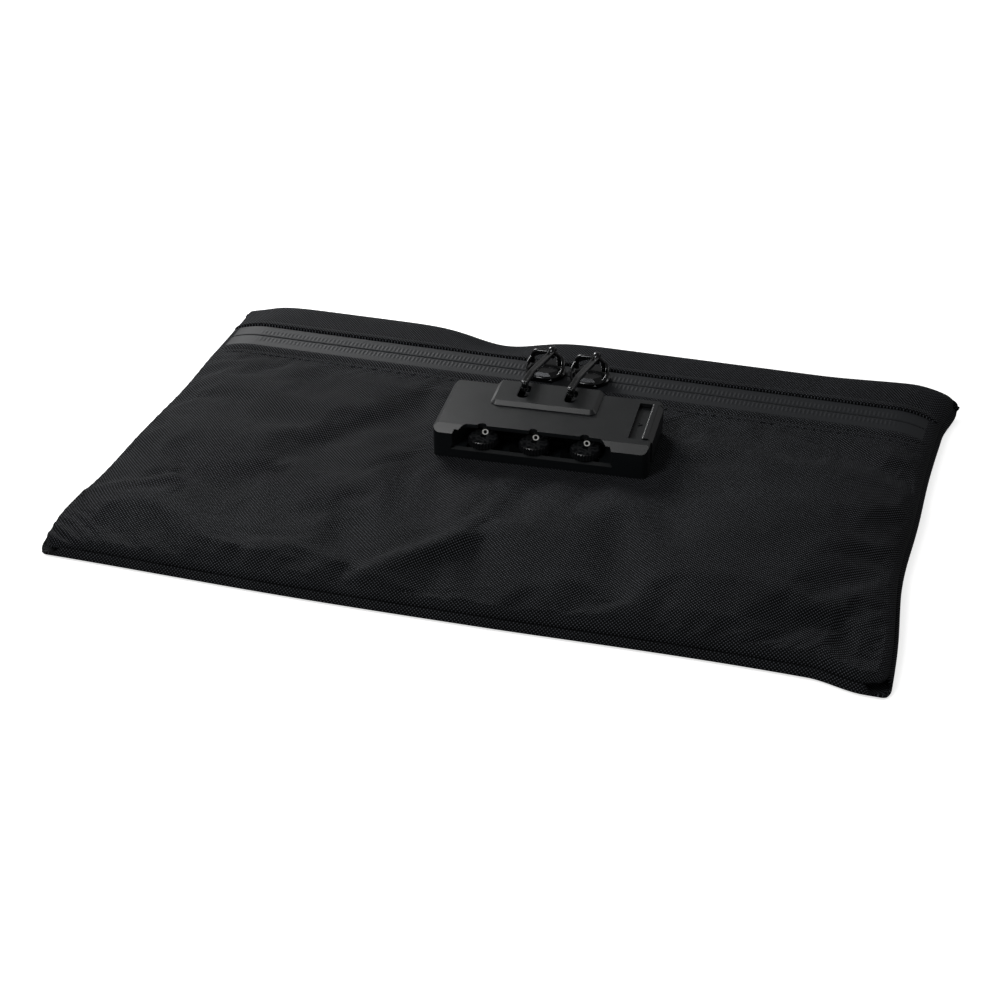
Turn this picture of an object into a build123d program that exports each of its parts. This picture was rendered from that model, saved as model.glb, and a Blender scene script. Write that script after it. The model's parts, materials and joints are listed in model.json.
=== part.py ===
from build123d import *
import math
import os

# Cash deposit bag: a flat woven pouch with a zipper along its back edge, two sliders whose long
# pulls reach into a three-dial combination lock on the front panel.
# Millimetres. X runs along the zipper, Y from the front edge to the zipper edge, Z up.
# The bag lies on its back panel; the origin is the middle of that face.

# ---------------------------------------------------------------- bag
bag_width = 280.0
bag_depth = 178.0
cloth = 1.2                # woven panel with its coating
lining = 0.4
lining_gap = 0.1           # the lining hangs this far off its panel
bag_height = 11.0          # top of the front panel where the lock stands
side_run = 6.0             # how far in from a side seam the top is level
front_run = 20.0           # the same at the front seam
back_run = 3.0             # the same at the back fold
zip_from_back = 31.0       # zipper centre line to the back edge
seam_inset = 8.0           # inner edge of the seam binding
binding_width = 3.0
binding_height = 0.9

# ---------------------------------------------------------------- joins between solids
cutter_overrun = 1.0       # cutting shapes stand this far out of the face they cut
root = 0.3                 # joined shapes run this far into each other

# ---------------------------------------------------------------- zipper
tape_visible = 16.8        # both tapes together
slit = 1.6                 # gap between the tapes, where the slider neck passes
coil_width = 2.4
coil_height = 2.2
stop_length = 2.0
slider_length = 15.0
slider_width = 14.6
slider_dome = 1.9          # how far the top plate is crowned
plate_edge = 1.3
plate_flat = 8.25          # straight part of the plate's sides
neck_length = 7.5
bottom_plate_length = 12.75
bottom_plate_width = 12.6
slider_gap = 0.3           # slider plates to tape and coil
neck_play = 0.2            # neck to each tape
bottom_plate = 1.0
slider_left_x = -7.7
slider_right_x = 9.3
bridge_rise = 9.5          # bridge rod above the tape
rod_d = 1.8
bridge_length = 11.6
post_length = 1.4
post_width = 2.6
post_play = 0.1            # bridge feet stand this deep in the slider plate

# ---------------------------------------------------------------- pulls
pull_offset = 2.5          # pull along its bridge, from the slider centre
pull_width = 2.2
pull_thickness = 1.8
eye_wall = 1.2
eye_play = 0.1             # radial
groove_width = 0.8
groove_depth = 0.3
pull_reach = 39.5          # bridge rod to the tip of the nose
pull_level = 10.5          # the last stretch, which lies level over the lock
pull_bend_r = 8.4
groove_from_eye = 0.5      # where the groove along the bar ends
pull_lift = 3.4            # degrees that the pull stands above its home place
nose_length = 2.6
nose_depth = 2.0           # nose below the platform when pushed home
home_gap = 0.15            # pull above the platform when pushed home
notch_depth = 0.95         # catch notch in the side of the nose
notch_height = 0.9
nose_foot = 0.4            # left below the notch

# ---------------------------------------------------------------- lock
lock_x = 6.5               # lock centre on the bag
lock_y = 9.5
lock_turn = 3.0            # degrees, seen from above
lock_length = 76.0
lock_depth = 34.5
lock_height = 12.0
base_floor = 1.8
base_height = 3.2
wall = 1.4
corner_r = 2.6
front_bevel = 2.6
end_bevel = 1.5
soft_edge = 0.7
platform_length = 38.0
platform_depth = 16.0
platform_rise = 1.5
platform_bevel = 1.3
platform_corner = 2.2
platform_x = -2.75
slot_pitch = 17.0
slot_width = 4.0
slot_length = 9.4
slot_wall = 0.8            # cover left above the catches, round the slots
slot_from_back = 2.0
slot_pocket = 1.6          # thinned wall round each slot

# ---------------------------------------------------------------- dials
dial_count = 3
dial_pitch = 18.1
dial_d = 10.8
dial_thickness = 2.4
dial_bottom = 4.2
dial_from_front = 5.5
dial_play = 0.35           # dial to the window wall
knurl_count = 30
knurl_depth = 0.35
hub_d = 5.2
pin_d = 2.0
pin_play = 0.06            # radial
pin_head_d = 3.2
pin_head_height = 0.6
pin_head_play = 0.12
cam_d = 8.0
cam_thickness = 1.4
cam_lift = 0.2             # cam above the base floor
gate_width = 2.1
gate_floor_r = 1.55
window_length = 47.0
window_flare = 5.0         # wider by this at each end where it meets the front face
window_depth = 10.0
window_roof = 6.5             # roof over the back of the dials
window_floor = 3.9
window_lip = 1.1
reading_notch_r = 1.6      # small notch in the edge of the roof above each digit

# ---------------------------------------------------------------- release
release_travel = 2.5
button_width = 25.0
button_y = 1.4
button_play = 0.3
strip_length = 4.2         # flat strip seen beside the grip
strip_thickness = 1.2
strip_play = 0.1           # strip below the cover
strip_hidden = 3.2         # strip under the cover
grip_height = 1.9
grip_slope = 0.5           # lean of the face beside the strip
grip_round = 1.6           # fall of the grip to its outer edge, along and down
grip_edge = 0.2
mark_length = 1.5          # raised arrow head on the strip
mark_width = 2.2
mark_stroke = 0.7
mark_height = 0.25
mark_from_edge = 1.47
skirt_thickness = 1.6
skirt_play = 0.2
end_proud = 0.4            # grip past the end of the cover
rail_front = -5.2
rail_width = 3.8
rail_height = 1.8
fence_width = 1.6
fence_height = 1.2
fence_gap = 0.15
fence_arm = 2.0
catch_gap = 0.35           # catch to the middle of the slot
catch_thickness = 0.6
catch_play = 0.08
riser_play = 0.32          # riser to the end of its pocket when the latch is drawn back
arm_root = 1.0             # arms run this far into the rail
catch_width = 3.0
riser_length = 2.2
riser_from_slot = 4.6
link_length = 3.0
peg_d = 1.8
peg_cover = 0.3            # strip left over the peg
spring_d = 3.6
spring_wire = 0.5
spring_turns = 8
spring_length = 9.5
spring_x = 15.0
spring_y = 3.0
spring_play = 0.05
spring_lift = 0.3          # spring above the base floor
lug_thickness = 1.4
stop_rise = 1.0            # spring stop above the spring
detent_thickness = 0.3
detent_gap = 0.1
detent_height = 1.2

# ---------------------------------------------------------------- fixings
screw_d = 2.2
screw_head_d = 4.4
screw_head = 1.2
screw_play = 0.2           # screw tip to the end of its hole
recess_stroke = 0.7        # cross recess in the head
recess_span = 2.64
post_d = 5.0
post_engage = 6.0          # screw length in the cover post
back_plate = 1.2
back_plate_margin = 2.0
screw_left_x = -33.6
screw_left_y = 13.0
screw_right_front = (33.4, -14.2)
screw_right_back = (21.5, 13.4)

# ---------------------------------------------------------------- worked out from the sizes above
half_width = bag_width / 2
half_depth = bag_depth / 2
zip_y = half_depth - zip_from_back
tape_front = zip_y - tape_visible / 2
tape_back = zip_y + tape_visible / 2
tape_bottom = bag_height - cloth
platform_top = lock_height + platform_rise
dial_top = dial_bottom + dial_thickness
front_face = -lock_depth / 2
back_face = lock_depth / 2
right_end = lock_length / 2
dial_y = front_face + dial_from_front
cam_bottom = base_floor + cam_lift
cam_top = cam_bottom + cam_thickness
slot_y = back_face - slot_from_back - slot_length / 2
slot_xs = [platform_x - slot_pitch / 2, platform_x + slot_pitch / 2]
dial_xs = [platform_x + (i - (dial_count - 1) / 2) * dial_pitch for i in range(dial_count)]
rail_back = rail_front + rail_width
rail_bottom = cam_bottom + 0.1
recess_left = right_end - strip_length - grip_height * 2
strip_top = lock_height - wall - strip_play
screw_places = [
    (screw_left_x, -screw_left_y),
    (screw_left_x, screw_left_y),
    screw_right_front,
    screw_right_back,
]
rod_z = bag_height + bridge_rise
slider_xs = {"left": slider_left_x, "right": slider_right_x}


def block(x0, x1, y0, y1, z0, z1):
    """A box between two corners."""
    size = Box(x1 - x0, y1 - y0, z1 - z0)
    return Pos((x0 + x1) / 2, (y0 + y1) / 2, (z0 + z1) / 2) * size


def rod(radius, x, y, z0, z1):
    """An upright cylinder."""
    return Pos(x, y, (z0 + z1) / 2) * Cylinder(radius, z1 - z0)


def on_bag(shape):
    """Puts a piece of the lock in its place on the front panel."""
    return Location((lock_x, lock_y, bag_height), (0, 0, lock_turn)) * shape


def frustum(inset, bottom, top):
    """The bulging outline of the bag between two levels, pulled in by inset."""
    low = Pos(0, 0, bottom) * Rectangle(bag_width - 2 * inset, bag_depth - 2 * inset)
    y0 = -half_depth + front_run + inset
    y1 = half_depth - back_run - inset
    level = Rectangle(bag_width - 2 * (side_run + inset), y1 - y0)
    return loft([low.face(), (Pos(0, (y0 + y1) / 2, top) * level).face()], ruled=True)


def lid():
    """The upper side of the bag as one shell: front panel, tapes and top band."""
    inner = frustum(cloth, cloth, tape_bottom)
    return frustum(0, cloth, bag_height) - inner


def strip_of_lid(y0, y1):
    """The part of the upper shell between two lines across the bag."""
    return lid() & block(-half_width, half_width, y0, y1, 0, bag_height + cloth)


def screw_holes(radius, z0, z1):
    """Holes for the clamp screws, in the lock's own frame."""
    return [rod(radius, x, y, z0, z1) for x, y in screw_places]


# ---------------------------------------------------------------- soft pieces
def back_panel():
    return block(-half_width, half_width, -half_depth, half_depth, 0, cloth)


def front_panel():
    panel = strip_of_lid(-half_depth, tape_front)
    for hole in screw_holes(screw_d / 2 + pin_play, -2 * cloth, cloth):
        panel -= on_bag(hole)
    return panel


def top_band():
    return strip_of_lid(tape_back, half_depth)


def back_lining():
    edge = seam_inset + binding_width
    return block(edge - half_width, half_width - edge, edge - half_depth, half_depth - edge,
                 cloth + lining_gap, cloth + lining_gap + lining)


def front_lining():
    """A sheet under the front panel, cut out round the lock's fixing plate."""
    z1 = tape_bottom - lining_gap
    x1 = half_width - side_run - seam_inset
    y0 = front_run + seam_inset - half_depth
    sheet = block(-x1, x1, y0, tape_front - seam_inset, z1 - lining, z1)
    half_x = lock_length / 2
    half_y = lock_depth / 2
    return sheet - on_bag(block(-half_x, half_x, -half_y, half_y, -3 * cloth, 0))


def seam_binding():
    """A tape bound over the raw edges inside the side and front seams."""
    outer_x = half_width - seam_inset
    outer_y = half_depth - seam_inset
    z0 = cloth
    z1 = cloth + binding_height
    ring = block(-outer_x, outer_x, -outer_y, outer_y, z0, z1)
    inner_x = outer_x - binding_width
    return ring - block(-inner_x, inner_x, binding_width - outer_y, outer_y + cloth, z0, z1)


def tape(side):
    """One zipper tape: side is 1 for the upper one and -1 for the lower one."""
    edge = zip_y + side * slit / 2
    far = zip_y + side * tape_visible / 2
    return strip_of_lid(min(edge, far), max(edge, far))


def coil(side):
    """One row of the coil, which lies under its tape."""
    end = half_width - side_run - seam_inset
    y0 = zip_y + side * slit / 2
    y1 = y0 + side * coil_width
    return block(-end, end, min(y0, y1), max(y0, y1), tape_bottom - coil_height, tape_bottom)


def zipper_stops():
    """A crimped stop across both coils at each end."""
    end = half_width - side_run - seam_inset
    half = slit / 2 + coil_width
    stops = []
    for side in (-1, 1):
        x0 = side * end
        x1 = side * (end + stop_length)
        stops.append(block(min(x0, x1), max(x0, x1), zip_y - half, zip_y + half,
                           tape_bottom - coil_height, tape_bottom))
    return Compound(children=stops)


# ---------------------------------------------------------------- sliders and pulls
def slider_body(x):
    """Domed top plate, neck through the slit, and bottom plate under the coils."""
    top_z = bag_height + slider_gap
    outline = Ellipse(slider_length / 2, slider_width / 2) + Rectangle(plate_flat, slider_width)
    plate = Pos(x, zip_y, top_z) * extrude(outline, plate_edge)
    crown = Pos(x, zip_y, top_z + plate_edge) * extrude(outline, slider_dome, taper=45)
    low_z = tape_bottom - coil_height - slider_gap
    neck = block(x - neck_length / 2, x + neck_length / 2, zip_y - slit / 2 + neck_play,
                 zip_y + slit / 2 - neck_play, low_z, top_z)
    bottom = Pos(x, zip_y, low_z - bottom_plate) * extrude(
        Rectangle(bottom_plate_length, bottom_plate_width), bottom_plate)
    seat_z = top_z + plate_edge + slider_dome - post_play
    feet = [bridge_post(x, side, seat_z, rod_z) for side in (-1, 1)]
    return plate + crown + neck + bottom - feet


def bridge_post(x, side, z0, z1):
    """One upright of the bridge."""
    far = x + side * bridge_length / 2
    near = far - side * post_length
    return block(min(far, near), max(far, near), zip_y - post_width / 2, zip_y + post_width / 2, z0, z1)


def slider_bridge(x):
    """Two posts and the round rod that carries the pull."""
    seat_z = bag_height + slider_gap + plate_edge + slider_dome - post_play
    posts = [bridge_post(x, side, seat_z, rod_z + rod_d / 2) for side in (-1, 1)]
    bar = Pos(x, zip_y, rod_z) * Rot(0, 90, 0) * Cylinder(rod_d / 2, bridge_length - post_length)
    return posts[0] + bar + posts[1]


def pull(x):
    """A slim bar from the bridge to the lock, with its nose just above the slot."""
    centre = x + pull_offset
    home_z = bag_height + platform_top + home_gap + pull_thickness / 2
    tip_y = zip_y - pull_reach
    eye_r = rod_d / 2 + eye_play + eye_wall
    line = Polyline((zip_y, rod_z), (tip_y + pull_level, home_z), (tip_y, home_z))
    bend = fillet(line.vertices().sort_by(Axis.X)[1], pull_bend_r)
    flat = trace(bend, pull_thickness)
    profile = Plane.YZ * flat
    half = pull_width / 2
    bar = Pos(centre - half, 0, 0) * extrude(profile, pull_width, dir=(1, 0, 0))
    under = home_z - pull_thickness / 2
    nose_z = bag_height + platform_top - nose_depth
    nose = block(centre - half, centre + half, tip_y, tip_y + nose_length, nose_z, under + root)
    eye = Pos(centre, zip_y, rod_z) * Rot(0, 90, 0) * Cylinder(eye_r, pull_width)
    body = bar + nose + eye
    body -= Pos(centre, zip_y, rod_z) * Rot(0, 90, 0) * Cylinder(rod_d / 2 + eye_play, 2 * pull_width)
    notch_z = nose_z + nose_foot
    body -= block(centre + half - notch_depth, centre + half, tip_y, tip_y + nose_length,
                  notch_z, notch_z + notch_height)
    top_skin = Plane.YZ * (Pos(0, pull_thickness - groove_depth) * flat)
    cut = Pos(centre - groove_width / 2, 0, 0) * extrude(top_skin, groove_width, dir=(1, 0, 0))
    keep = block(centre - half, centre + half, tip_y + nose_length, zip_y - eye_r - groove_from_eye,
                 rod_z, home_z + pull_thickness)
    body -= cut & keep
    turn = Pos(0, zip_y, rod_z) * Rot(-pull_lift, 0, 0) * Pos(0, -zip_y, -rod_z)
    return turn * body


# ---------------------------------------------------------------- lock shell
def lock_outline(margin=0.0):
    corner = corner_r - margin * 0.5
    return RectangleRounded(lock_length - 2 * margin, lock_depth - 2 * margin, corner)


def lock_base():
    """Tray that stands on the front panel and carries the mechanism."""
    tray = extrude(lock_outline(), base_height)
    tray -= Pos(0, 0, base_floor) * extrude(lock_outline(wall), base_height)
    for x, y in screw_places:
        tray -= rod(post_d / 2, x, y, base_floor, base_height)
    for hole in screw_holes(screw_d / 2 + pin_play, 0, base_floor):
        tray -= hole
    for x in dial_xs:
        tray -= rod(pin_d / 2, x, dial_y, base_floor / 2, base_floor)
    stop_x = spring_x + spring_length
    stop = block(stop_x, stop_x + lug_thickness, spring_y - spring_d / 2, spring_y + spring_d / 2,
                 base_floor, base_floor + spring_d + stop_rise)
    return tray + stop


def wedge_plan(edge, z, size):
    """Triangle outside a top edge; the edge is at the low end of the axis."""
    out = cutter_overrun
    return make_face(Polyline((edge - out, z - size - out), (edge - out, z + out),
                              (edge + size + out, z + out), close=True))


def bevel_along_x(y, z, size):
    """A wedge that takes the front top edge off."""
    wedge = extrude(Plane.YZ * wedge_plan(y, z, size), 2 * lock_length, dir=(1, 0, 0))
    return Pos(-lock_length, 0, 0) * wedge


def bevel_along_y(x, z, size):
    """A wedge that takes the left top edge off."""
    wedge = extrude(Plane.XZ * wedge_plan(x, z, size), 2 * lock_depth, dir=(0, -1, 0))
    return Pos(0, lock_depth, 0) * wedge


def cover_blank():
    """The moulded outside of the cover, before its openings."""
    shell = Pos(0, 0, base_height) * extrude(lock_outline(), lock_height - base_height)
    top = shell.edges().group_by(Axis.Z)[-1]
    shell = chamfer(top, soft_edge)
    shell -= bevel_along_x(front_face, lock_height, front_bevel)
    shell -= bevel_along_y(-right_end, lock_height, end_bevel)
    x0 = platform_x - platform_length / 2
    plan = RectangleRounded(platform_length, 2 * platform_depth, platform_corner)
    raised = extrude(plan, platform_rise + front_bevel)
    raised = chamfer(raised.edges().group_by(Axis.Z)[-1], platform_bevel)
    raised = Pos(platform_x, back_face, lock_height - front_bevel) * raised
    raised &= block(x0, x0 + platform_length, 0, back_face, 0, 2 * lock_height)
    return shell + raised


def cover_hollow():
    """The space inside the cover, less the screw posts."""
    inside = extrude(lock_outline(wall), lock_height - wall)
    inside -= bevel_along_x(front_face + wall, lock_height - wall, front_bevel)
    for x, y in screw_places:
        inside -= rod(post_d / 2, x, y, 0, lock_height)
    return inside


def window_plan(depth, z0, z1):
    """The window's outline, flared towards the front face."""
    half = window_length / 2
    y0 = front_face - cutter_overrun
    plan = Polyline(
        (platform_x - half - window_flare, y0),
        (platform_x - half, front_face + depth),
        (platform_x + half, front_face + depth),
        (platform_x + half + window_flare, y0),
        close=True,
    )
    return Pos(0, 0, z0) * extrude(make_face(plan), z1 - z0)


def window_sill():
    """Sloped lip along the front of the window floor."""
    y0 = front_face - cutter_overrun
    lip = Polyline((y0, window_floor - window_lip), (front_face + wall, window_floor),
                   (y0, window_floor + cutter_overrun), close=True)
    full = window_length / 2 + window_flare
    slope = Plane.YZ * make_face(lip)
    return Pos(platform_x - full, 0, 0) * extrude(slope, 2 * full, dir=(1, 0, 0))


def dial_window():
    """The opening in the front that shows the dials under a short roof."""
    roof_depth = window_depth - window_roof
    opening = window_plan(window_depth, window_floor, lock_height - wall)
    opening += window_plan(roof_depth, window_floor, 2 * lock_height)
    for x in dial_xs:
        opening += rod(dial_d / 2 + dial_play, x, dial_y, window_floor, dial_top + dial_play)
        opening += rod(reading_notch_r, x, front_face + roof_depth, window_floor, 2 * lock_height)
    return opening + window_sill()


def lock_cover():
    """Cover with its platform, dial window, pull slots and button recess."""
    shell = cover_blank() - cover_hollow()
    shell += window_walls()
    shell -= dial_window()
    pocket_half = slot_width / 2 + slot_pocket
    pocket_y = (slot_length + slot_pocket) / 2
    for x in slot_xs:
        reach = riser_from_slot + riser_length + release_travel + riser_play
        shell -= block(x - pocket_half, x + reach, slot_y - pocket_y, slot_y + pocket_y,
                       0, platform_top - slot_wall)
        slot = SlotOverall(slot_length, slot_width, rotation=90)
        shell -= Pos(x, slot_y, base_height) * extrude(slot, platform_top)
    y0 = button_y - button_width / 2
    y1 = button_y + button_width / 2
    shell -= block(recess_left, lock_length, y0, y1, base_height, platform_top)
    for hole in screw_holes(screw_d / 2, base_floor, base_floor + post_engage):
        shell -= hole
    foot = block(-lock_length, lock_length, -lock_depth, lock_depth, 0, base_height)
    posts = [rod(post_d / 2 - pin_play, x, y, base_floor, base_height) for x, y in screw_places]
    shell -= foot
    for post, hole in zip(posts, screw_holes(screw_d / 2, base_floor, base_height)):
        shell += post - hole
    return shell


def window_walls():
    """The walls behind and beside the dials, open below for the dial rims."""
    half = window_length / 2 + wall
    y1 = front_face + window_depth
    back = block(platform_x - half, platform_x + half, y1, y1 + wall, dial_top + dial_play, lock_height)
    side_bottom = rail_bottom + fence_height + fence_gap
    left = block(platform_x - half - window_flare, platform_x - half + wall, front_face + wall, y1 + wall,
                 side_bottom, lock_height)
    right = block(platform_x + half - wall, recess_left - strip_hidden - button_play, front_face + wall,
                  y1 + wall, side_bottom, lock_height)
    return (back + left + right) & cover_blank()


def back_plate_piece():
    """Steel plate inside the bag that the screws pull against."""
    margins = 2 * back_plate_margin
    plan = RectangleRounded(lock_length - margins, lock_depth - margins, corner_r)
    plate = Pos(0, 0, -cloth - back_plate) * extrude(plan, back_plate)
    for hole in screw_holes(screw_d / 2 + pin_play, -2 * cloth - back_plate, 0):
        plate -= hole
    return plate


def clamp_screws():
    """Four screws through plate, cloth and base into the cover posts."""
    under = -cloth - back_plate
    screws = []
    for x, y in screw_places:
        screw = rod(screw_d / 2, x, y, under, base_floor + post_engage - screw_play)
        screw += rod(screw_head_d / 2, x, y, under - screw_head, under)
        for size in ((recess_stroke, recess_span), (recess_span, recess_stroke)):
            screw -= Pos(x, y, under - screw_head) * Box(*size, screw_head)
        screws.append(screw)
    return Compound(children=screws)


# ---------------------------------------------------------------- dials
def knurled_disc(radius, count, depth, thickness):
    """A disc whose rim has a ring of small teeth."""
    points = []
    for i in range(2 * count):
        r = radius if i % 2 == 0 else radius - depth
        angle = math.pi * i / count
        points.append((r * math.cos(angle), r * math.sin(angle)))
    return extrude(make_face(Polyline(*points, close=True)), thickness)


def dial(x):
    """Number dial with its hub; it turns on the spindle."""
    disc = Pos(0, 0, dial_bottom) * knurled_disc(dial_d / 2, knurl_count, knurl_depth, dial_thickness)
    rim = Pos(0, 0, dial_bottom) * extrude(Circle(dial_d / 2), dial_thickness)
    rim = chamfer(rim.edges().group_by(Axis.Z)[-1], knurl_depth)
    disc = (disc & rim) + rod(hub_d / 2, 0, 0, cam_top, dial_bottom)
    disc -= rod(pin_d / 2 + pin_play, 0, 0, 0, lock_height)
    disc -= rod(pin_head_d / 2 + pin_head_play, 0, 0, dial_top - pin_head_height - pin_play, dial_top)
    return Pos(x, dial_y, 0) * disc


def code_cam(x):
    """Cam under the dial, with a gate through each side."""
    disc = rod(cam_d / 2, 0, 0, cam_bottom, cam_top)
    disc -= rod(pin_d / 2 + pin_play, 0, 0, 0, lock_height)
    for side in (-1, 1):
        x0 = side * gate_floor_r
        x1 = side * cam_d
        disc -= block(min(x0, x1), max(x0, x1), -gate_width / 2, gate_width / 2, 0, lock_height)
    return Pos(x, dial_y, 0) * disc


def dial_spindle(x):
    """Headed pin pressed into the base."""
    shank = rod(pin_d / 2, x, dial_y, base_floor / 2, dial_top - pin_head_height)
    head = rod(pin_head_d / 2, x, dial_y, dial_top - pin_head_height, dial_top)
    return shank + head


def detent_spring():
    """Spring strip with a finger that reaches each cam rim."""
    y_rim = dial_y + cam_d / 2 + detent_gap
    z0 = cam_bottom
    z1 = z0 + detent_height
    half = fence_width
    fingers = []
    for x in dial_xs:
        fingers.append(block(x - half, x + half, y_rim, y_rim + detent_thickness, z0, z1))
        fingers.append(block(x + half - detent_thickness, x + half, y_rim, rail_front - detent_gap,
                             z0, z1))
        fingers.append(block(x + half - detent_thickness, x + 2 * half, rail_front - detent_gap
                             - detent_thickness, rail_front - detent_gap, base_floor, z1))
    return Compound(children=[fingers[3 * i] + fingers[3 * i + 1] + fingers[3 * i + 2]
                              for i in range(dial_count)])


# ---------------------------------------------------------------- latch and release button
def latch_bar():
    """Sliding bar with three fences for the cams and two catches for the pulls."""
    left = dial_xs[0] - cam_d / 2 - release_travel - fence_gap - fence_arm
    right = recess_left - strip_hidden + link_length
    bar = block(left, right, rail_front, rail_back, rail_bottom, rail_bottom + rail_height)
    for x in dial_xs:
        tip = x - cam_d / 2 - fence_gap
        arm = tip - release_travel
        bar += block(arm - fence_arm, arm, dial_y - fence_width / 2, rail_front, rail_bottom,
                     rail_bottom + fence_height)
        bar += block(arm - fence_arm, tip, dial_y - fence_width / 2, dial_y + fence_width / 2,
                     rail_bottom, rail_bottom + fence_height)
    catch_top = platform_top - slot_wall - catch_play
    nose_y = nose_in_lock()
    for x in slot_xs:
        riser = x + riser_from_slot
        bar += block(riser, riser + riser_length, rail_back - arm_root, nose_y + catch_width / 2,
                     rail_bottom, rail_bottom + rail_height)
        bar += block(riser, riser + riser_length, nose_y - catch_width / 2, nose_y + catch_width / 2,
                     rail_bottom, catch_top)
        bar += block(x + catch_gap, riser + riser_length, nose_y - catch_width / 2,
                     nose_y + catch_width / 2, catch_top - catch_thickness, catch_top)
    link = right - link_length
    bar += block(link, right, rail_front, rail_back, rail_bottom, strip_top - strip_thickness)
    bar += rod(peg_d / 2, (link + right) / 2, (rail_front + rail_back) / 2,
               rail_bottom, strip_top - peg_cover)
    bar += block(spring_x - lug_thickness, spring_x, rail_back - arm_root, spring_y + spring_d / 2,
                 rail_bottom, rail_bottom + spring_d)
    return bar


def nose_in_lock():
    """Where the noses of the pulls come down, along the depth of the lock."""
    return zip_y - pull_reach + nose_length / 2 - lock_y


def release_button():
    """Flat strip, raised grip and a skirt that closes the end of the lock."""
    x0 = recess_left - strip_hidden
    grip = recess_left + strip_length
    end = right_end + end_proud
    low = strip_top - strip_thickness
    outline = Polyline(
        (x0, low), (x0, strip_top), (grip, strip_top), (grip + grip_slope, strip_top + grip_height),
        (end - grip_round, strip_top + grip_height), (end, strip_top + grip_edge),
        (end, base_height + skirt_play), (end - skirt_thickness, base_height + skirt_play),
        (end - skirt_thickness, low), close=True,
    )
    profile = Plane.XZ * make_face(outline)
    width = button_width - 2 * button_play
    y1 = button_y + width / 2
    button = Pos(0, y1, 0) * extrude(profile, width, dir=(0, -1, 0))
    top = button.edges().filter_by(Axis.Y).group_by(Axis.Z)[-1]
    button = fillet(top, soft_edge)
    right = x0 + link_length
    button -= rod(peg_d / 2, (x0 + right) / 2, (rail_front + rail_back) / 2, 0, strip_top - peg_cover)
    return button + push_mark()


def push_mark():
    """Raised arrow head that shows which way the button moves."""
    inner = mark_length - mark_stroke
    half = mark_width / 2
    inner_half = half - mark_stroke / 2
    head = Polyline((0, -half), (mark_length, 0), (0, half), (0, inner_half), (inner, 0),
                    (0, -inner_half), close=True)
    place = Pos(recess_left + mark_from_edge, button_y, strip_top)
    return place * extrude(make_face(head), mark_height)


def latch_spring():
    """Compression spring that pushes the latch bar home."""
    length = spring_length - 2 * spring_play - spring_wire
    pitch = length / spring_turns
    radius = (spring_d - spring_wire) / 2
    path = Helix(pitch, length, radius)
    wire = sweep(Plane(path @ 0, z_dir=path % 0) * Circle(spring_wire / 2), path)
    z = base_floor + spring_d / 2 + spring_lift
    return Pos(spring_x + spring_play + spring_wire / 2, spring_y, z) * Rot(0, 90, 0) * wire


# ---------------------------------------------------------------- write every piece
def all_pieces():
    pieces = {
        "back_panel": back_panel(),
        "front_panel": front_panel(),
        "top_band": top_band(),
        "back_lining": back_lining(),
        "front_lining": front_lining(),
        "seam_binding": seam_binding(),
        "zipper_tape_upper": tape(1),
        "zipper_tape_lower": tape(-1),
        "zipper_coil_upper": coil(1),
        "zipper_coil_lower": coil(-1),
        "zipper_stops": zipper_stops(),
        "lock_base": on_bag(lock_base()),
        "lock_cover": on_bag(lock_cover()),
        "lock_fixing_plate": on_bag(back_plate_piece()),
        "lock_clamp_screws": on_bag(clamp_screws()),
        "latch_bar": on_bag(latch_bar()),
        "latch_spring": on_bag(latch_spring()),
        "release_button": on_bag(release_button()),
        "detent_spring": on_bag(detent_spring()),
    }
    for side, x in slider_xs.items():
        pieces[f"slider_{side}_body"] = slider_body(x)
        pieces[f"slider_{side}_bridge"] = slider_bridge(x)
        pieces[f"pull_{side}"] = pull(x)
    for number, x in enumerate(dial_xs, start=1):
        pieces[f"dial_{number}"] = on_bag(dial(x))
        pieces[f"code_cam_{number}"] = on_bag(code_cam(x))
        pieces[f"dial_spindle_{number}"] = on_bag(dial_spindle(x))
    return pieces


os.makedirs("parts", exist_ok=True)
for name, shape in all_pieces().items():
    export_step(shape, f"parts/{name}.step")
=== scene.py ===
import json
import math

import bmesh
import bpy
from mathutils import Matrix, Vector


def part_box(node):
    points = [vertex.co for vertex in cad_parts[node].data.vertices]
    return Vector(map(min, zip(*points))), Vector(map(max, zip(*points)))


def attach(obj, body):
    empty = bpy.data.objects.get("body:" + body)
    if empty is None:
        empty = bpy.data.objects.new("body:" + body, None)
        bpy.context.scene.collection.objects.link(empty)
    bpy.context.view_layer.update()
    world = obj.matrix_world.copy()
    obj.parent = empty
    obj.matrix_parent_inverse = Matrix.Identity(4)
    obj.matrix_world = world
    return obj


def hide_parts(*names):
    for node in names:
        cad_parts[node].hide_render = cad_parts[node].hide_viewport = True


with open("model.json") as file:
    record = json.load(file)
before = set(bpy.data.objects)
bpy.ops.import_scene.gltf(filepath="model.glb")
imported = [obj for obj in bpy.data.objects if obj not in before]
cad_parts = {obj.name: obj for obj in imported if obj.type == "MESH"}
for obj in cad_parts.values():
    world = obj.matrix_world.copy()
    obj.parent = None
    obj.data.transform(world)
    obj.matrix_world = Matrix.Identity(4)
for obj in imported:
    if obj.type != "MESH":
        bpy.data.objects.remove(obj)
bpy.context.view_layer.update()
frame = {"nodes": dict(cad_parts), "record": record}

bl_info = {
    "name": "Cash deposit bag",
    "version": (1, 0, 0),
    "blender": (4, 5, 0),
    "location": "View3D > Sidebar > Deposit bag",
    "description": "Makes the cloth, zipper, lock and studio of a lockable cash deposit bag",
    "category": "Object",
}

MM = 0.001

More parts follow.
